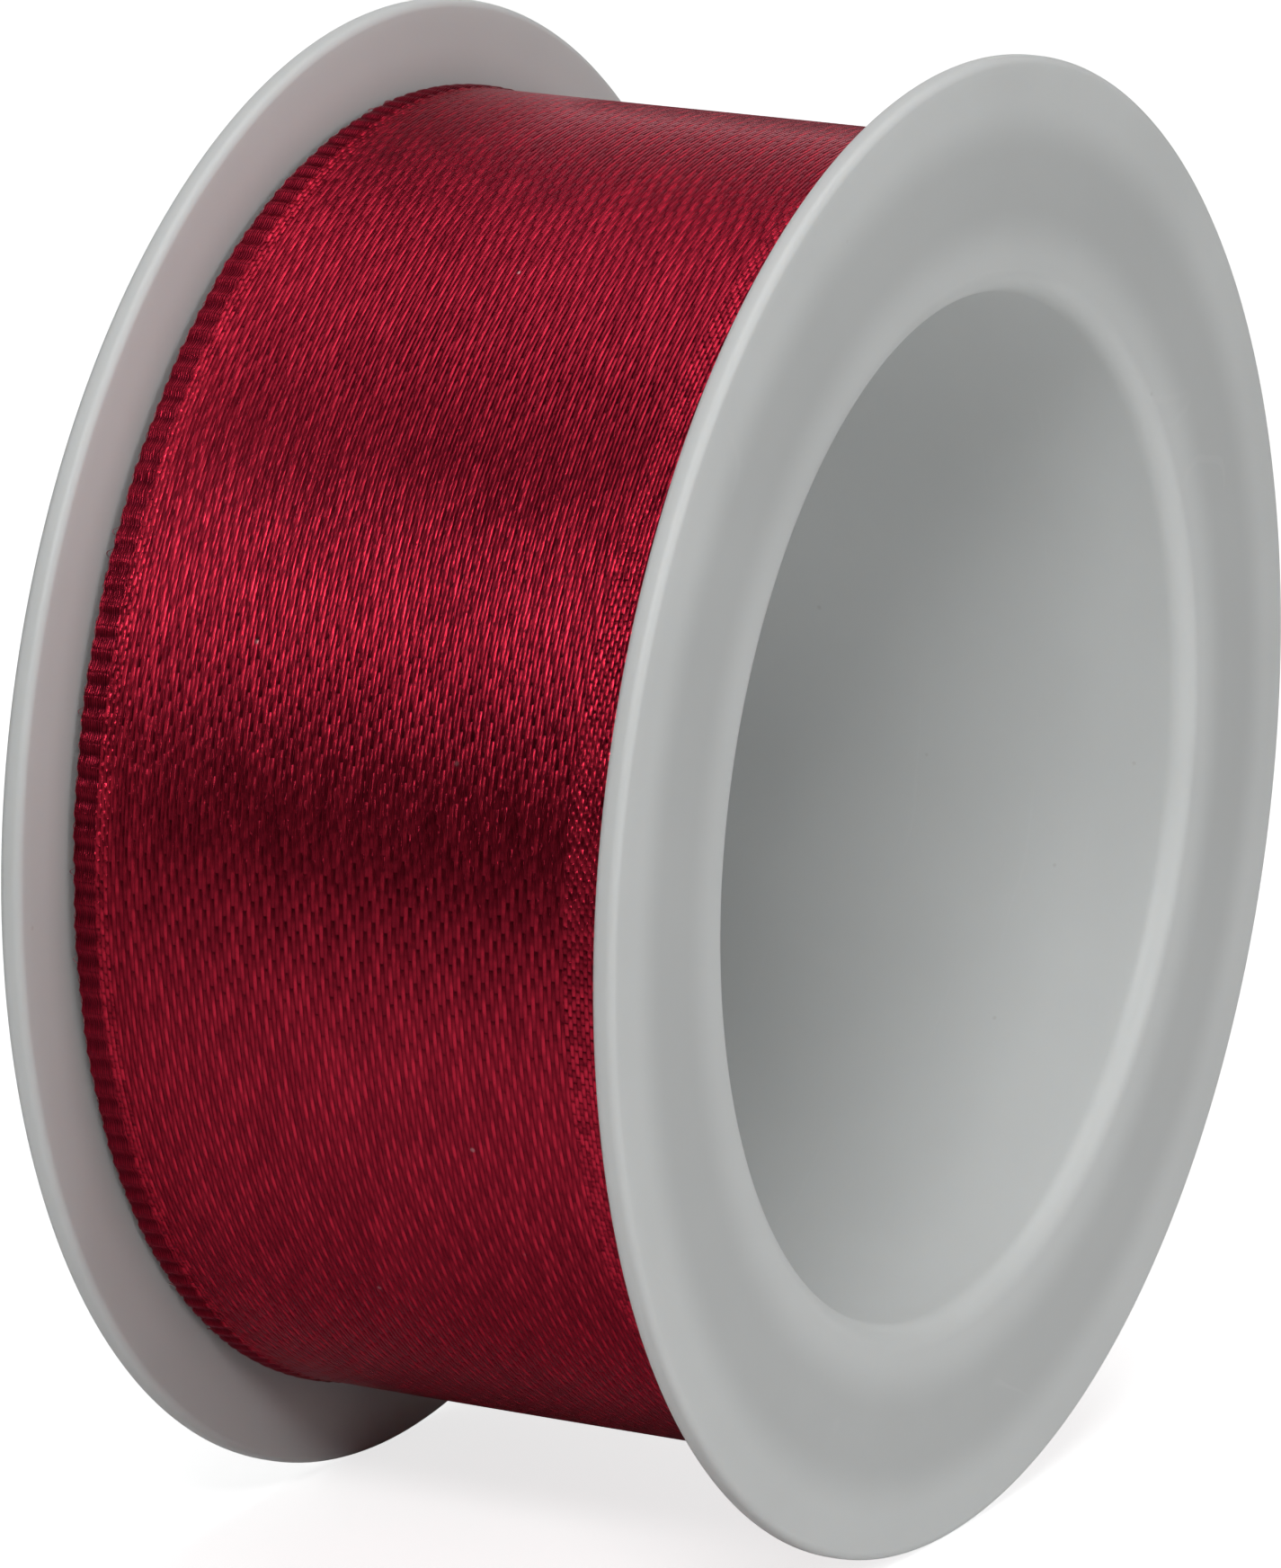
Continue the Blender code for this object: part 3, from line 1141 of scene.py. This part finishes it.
    def strip(self, degrees: np.ndarray, columns: np.ndarray, rib_height: float) -> SweptShape:
        """Sweep the ribbon's section along its path.

        Args:
            degrees: The places along the ribbon, in degrees from its tip.
            columns: The places across it.
            rib_height: How high the ribs of the selvedge stand.

        Returns:
            The strip, outer side first.
        """
        along = self.path.length(degrees)[:, None]
        side = np.sign(columns)[None, :]
        inset = (self.width / 2 - np.abs(columns))[None, :]
        at_edge = np.clip(1.0 - inset / 0.0003, 0.0, 1.0)
        reach = np.where(side > 0, self.edge_reach(along, 1), self.edge_reach(along, -1))
        across = columns[None, :] + (side * reach * at_edge if rib_height else 0.0)
        in_selvedge = np.clip((0.00112 - inset) / 0.0002, 0.0, 1.0)
        rib = 0.5 + 0.5 * np.cos(math.tau * along / self.rib_pitch)
        slow = np.sin(along * 95.0 + 180.0 * across) * np.cos(along * 37.0 - 90.0 * across)
        relief = rib_height * rib * in_selvedge * (1.0 - 0.5 * at_edge)
        half = self.thickness / 2 - (self.thickness - self.edge_thickness) / 2 * at_edge
        middle = self.path.radius(degrees)[:, None]
        outer = middle + half + relief + self.unevenness * slow * bool(rib_height)
        inner = middle - half + 0.0 * across
        angle = self.path.tip_angle + degrees[:, None]
        rings = np.concatenate(
            [round_axis(outer, across, angle), round_axis(inner, across, angle)[:, ::-1]], axis=1
        )
        lay = np.stack(np.broadcast_arrays(columns[None, :], along), axis=-1)
        return SweptShape(rings, np.concatenate([lay, lay[:, ::-1]], axis=1))

    def edge_thread(self, low: float, high: float, side: int) -> SweptShape:
        """Sweep the thread that runs in small loops along one edge.

        Args:
            low: The thread's end nearer the ribbon's tip, in degrees along the ribbon.
            high: Its other end.
            side: +1 for the rear edge and -1 for the front edge.

        Returns:
            The thread.
        """
        reach = float(np.diff(self.path.length(np.array([low, high])))[0])
        degrees = np.linspace(low, high, max(8, round(8 * reach / self.loop_pitch)) + 1)
        along = self.path.length(degrees)
        turn = along / self.loop_pitch
        draw = np.sin((np.floor(turn) + 11.0 * side) * 12.9898) * 43758.5453
        draw = draw - np.floor(draw)
        size = self.loop_reach * (0.5 + 0.9 * draw)
        size = np.where(draw > 0.965, self.longest_loop, size)
        bulge = 0.5 - 0.5 * np.cos(math.tau * turn)
        stand = np.minimum(self.edge_reach(along, side) + 0.00001 + size * bulge, self.longest_loop)
        across = side * (self.width / 2 + stand)
        radius = self.path.radius(degrees) + 0.00003 + 0.00004 * np.sin(math.tau * turn)
        turns = np.radians(np.arange(5) * 72.0)[None, :]
        rings = round_axis(
            radius[:, None] + self.thread_radius * np.cos(turns),
            across[:, None] + self.thread_radius * np.sin(turns),
            self.path.tip_angle + degrees[:, None],
        )
        lay = np.stack(np.broadcast_arrays(across[:, None], along[:, None] + 0.0 * turns), axis=-1)
        return SweptShape(rings, lay, slot=1, flat_ends=False)


@dataclass
class EndTape:
    """The strip of clear tape that holds the ribbon's free end to the turn under it."""

    path: RibbonPath = RibbonPath()
    width: float = 0.012
    grip: float = 0.0066
    length: float = 0.0158
    thickness: float = 0.00005
    over_tail: float = 0.02746
    over_turn: float = 0.02728
    tooth_pitch: float = 0.0010
    tooth_height: float = 0.00035
    drop: float = 2.5

    def build(self, film: Material) -> Object:
        """Lay the tape over the tip and down onto the turn under it.

        Args:
            film: The tape's material.

        Returns:
            The tape.
        """
        columns = np.linspace(-self.width / 2, self.width / 2, 97)
        share = np.linspace(0.0, 1.0, 73)[:, None]
        tooth = np.abs((columns / self.tooth_pitch) % 1.0 - 0.5) * 2.0 * self.tooth_height
        to_degrees = math.degrees(1.0 / self.over_tail)
        top = (self.grip - tooth[None, :]) * to_degrees
        bottom = (self.grip - self.length + tooth[None, ::-1]) * to_degrees
        past_tip = top + (bottom - top) * share
        ease = np.clip(-past_tip / self.drop, 0.0, 1.0)
        ease = ease * ease * (3.0 - 2.0 * ease)
        middle = self.over_tail + (self.over_turn - self.over_tail) * ease
        angle = self.path.tip_angle + past_tip
        across = np.broadcast_to(columns[None, :], angle.shape)
        rings = np.concatenate(
            [
                round_axis(middle + self.thickness / 2, across, angle)[::-1],
                round_axis(middle - self.thickness / 2, across, angle)[::-1, ::-1],
            ],
            axis=1,
        )
        lay = np.concatenate([rings[..., 1:2], rings[..., 2:3]], axis=-1)
        tape = skin_object("tape_on_free_end", [SweptShape(rings, lay)], [film])
        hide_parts("end_tape")
        hinge = self.path.tail - 45.0
        self.path.point(hinge)
        self.path.point(hinge - 7.5)
        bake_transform(tape)
        LOG.info("%s: %d faces", tape.name, len(tape.data.polygons))
        return tape


# The studio


@dataclass(frozen=True)
class Softbox:
    """A square or oblong lamp that faces the spool."""

    name: str
    place: tuple[float, float, float]
    size: tuple[float, float]
    power: float

    def build(self) -> None:
        """Hang the lamp in its place and turn it to the spool."""
        light = bpy.data.lights.new(self.name, "AREA")
        light.shape = "RECTANGLE"
        light.size, light.size_y = self.size
        light.energy = self.power
        lamp = bpy.data.objects.new(self.name, light)
        lamp.location = self.place
        lamp.rotation_euler = (-Vector(self.place)).to_track_quat("-Z", "Y").to_euler()
        bpy.context.scene.collection.objects.link(lamp)


@dataclass
class Studio:
    """The camera, the lamps, the room's light and the floor that the spool stands on."""

    azimuth: float = -62.3
    elevation: float = 13.2
    roll: float = 0.92
    distance: float = 0.430
    lens: float = 237.6
    aim_right: float = -0.00125
    aim_up: float = -0.00056
    floor_height: float = -0.031
    room: float = 0.03
    backdrop: float = 0.90
    curtain_radius: float = 0.135
    curtain_top: float = 0.032

    def build(self, board: Material) -> None:
        """Set up the whole studio.

        Args:
            board: The floor's material.
        """
        self.place_camera()
        self.lay_floor(board)
        self.hang_curtain()
        for lamp in self.lamps():
            lamp.build()
            LOG.info("%s: %.1f W", lamp.name, lamp.power)
        world = bpy.data.worlds.new("room")
        world.use_nodes = True
        g = Graph(world.node_tree)
        seen = g.add("LightPath").outputs["Is Camera Ray"]
        strength = g.math("MULTIPLY_ADD", seen, self.backdrop - self.room, self.room)
        g.feed(world.node_tree.nodes["Background"].inputs["Strength"], strength)
        g.feed(world.node_tree.nodes["Background"].inputs["Color"], (1.0, 1.0, 1.0, 1.0))
        bpy.context.scene.world = world
        bpy.context.scene.view_settings.view_transform = "Standard"

    def lamps(self) -> list[Softbox]:
        """Return the lamps: two keys, a box overhead, a fill before the face and a light behind.

        Returns:
            The lamps, not yet lit.
        """
        return [
            Softbox("near_key", (-0.52, -0.20, 0.390), (0.24, 0.12), 1.43),
            Softbox("far_key", (-0.45, 0.34, 0.312), (0.26, 0.13), 0.17),
            Softbox("top_light", (0.03, -0.05, 0.61), (0.52, 0.48), 1.40),
            Softbox("fill_light", (0.02, -0.64, 0.20), (0.40, 0.40), 1.03),
            Softbox("back_light", (0.48, 0.40, 0.20), (0.60, 0.40), 0.50),
        ]

    def place_camera(self) -> None:
        """Stand the camera off at its angle, aimed a little beside the spool's middle."""
        turn, rise = math.radians(self.azimuth), math.radians(self.elevation)
        level = Vector((math.sin(turn), -math.cos(turn), 0.0))
        back = level * math.cos(rise) + Vector((0.0, 0.0, math.sin(rise)))
        right = Vector((math.cos(turn), math.sin(turn), 0.0))
        up = back.cross(right)
        aim = right * self.aim_right + up * self.aim_up
        lean = math.radians(self.roll)
        across = right * math.cos(lean) + up * math.sin(lean)
        data = bpy.data.cameras.new("camera")
        data.sensor_fit = "VERTICAL"
        data.sensor_height = 36.0
        data.lens = self.lens
        data.clip_start, data.clip_end = 0.01, 20.0
        camera = bpy.data.objects.new("camera", data)
        camera.location = aim + back * self.distance
        camera.rotation_euler = Matrix((across, back.cross(across), back)).transposed().to_euler()
        bpy.context.scene.collection.objects.link(camera)
        bpy.context.scene.camera = camera

    def lay_floor(self, board: Material) -> None:
        """Lay the wide flat floor that the spool stands on.

        Args:
            board: The floor's material.
        """
        bpy.ops.object.select_all(action="DESELECT")
        bpy.ops.mesh.primitive_plane_add(size=6.0, location=(0.0, 0.0, self.floor_height))
        floor = active_object("floor")
        bpy.ops.object.transform_apply(location=True, rotation=True, scale=True)
        floor.data.materials.append(board)

    def hang_curtain(self) -> None:
        """Stand a low dark ring round the spool, seen only in glossy surfaces: a painted dark
        reflection.
        """
        height = self.curtain_top - self.floor_height
        middle = (self.curtain_top + self.floor_height) / 2
        bpy.ops.object.select_all(action="DESELECT")
        bpy.ops.mesh.primitive_cylinder_add(
            vertices=64,
            radius=self.curtain_radius,
            depth=height,
            end_fill_type="NOTHING",
            location=(0.0, 0.0, middle),
        )
        curtain = active_object("dark_curtain")
        bpy.ops.object.transform_apply(location=True, rotation=True, scale=True)
        # A painted dark reflection: a black sheet that darkens a band of the satin's sheen and
        # casts no shadow.
        values = {"Base Color": (0.004, 0.004, 0.004, 1.0), "Roughness": 1.0}
        values["Specular IOR Level"] = 0.0
        material = new_material("painted_dark_reflection", values)[0]
        curtain.data.materials.append(material)
        curtain.visible_camera = curtain.visible_shadow = curtain.visible_diffuse = False


def main() -> None:
    """Dress the spool, set up the studio and report each piece."""
    logging.basicConfig(level=logging.INFO, format="%(message)s")
    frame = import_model()
    effects = Effects()
    film = ClearFilm().material()
    Studio().build(PaleBoard().material())
    Spool().build(MouldedPlastic().material(effects))
    Ribbon().build(Satin().material(effects), EdgeThread().material())
    EndTape().build(film)
    start_tape = frame["nodes"]["start_tape"]
    for slot in start_tape.material_slots:
        slot.material = film
    LOG.info("start_tape: %d faces", len(start_tape.data.polygons))


if __name__ == "__main__":
    main()
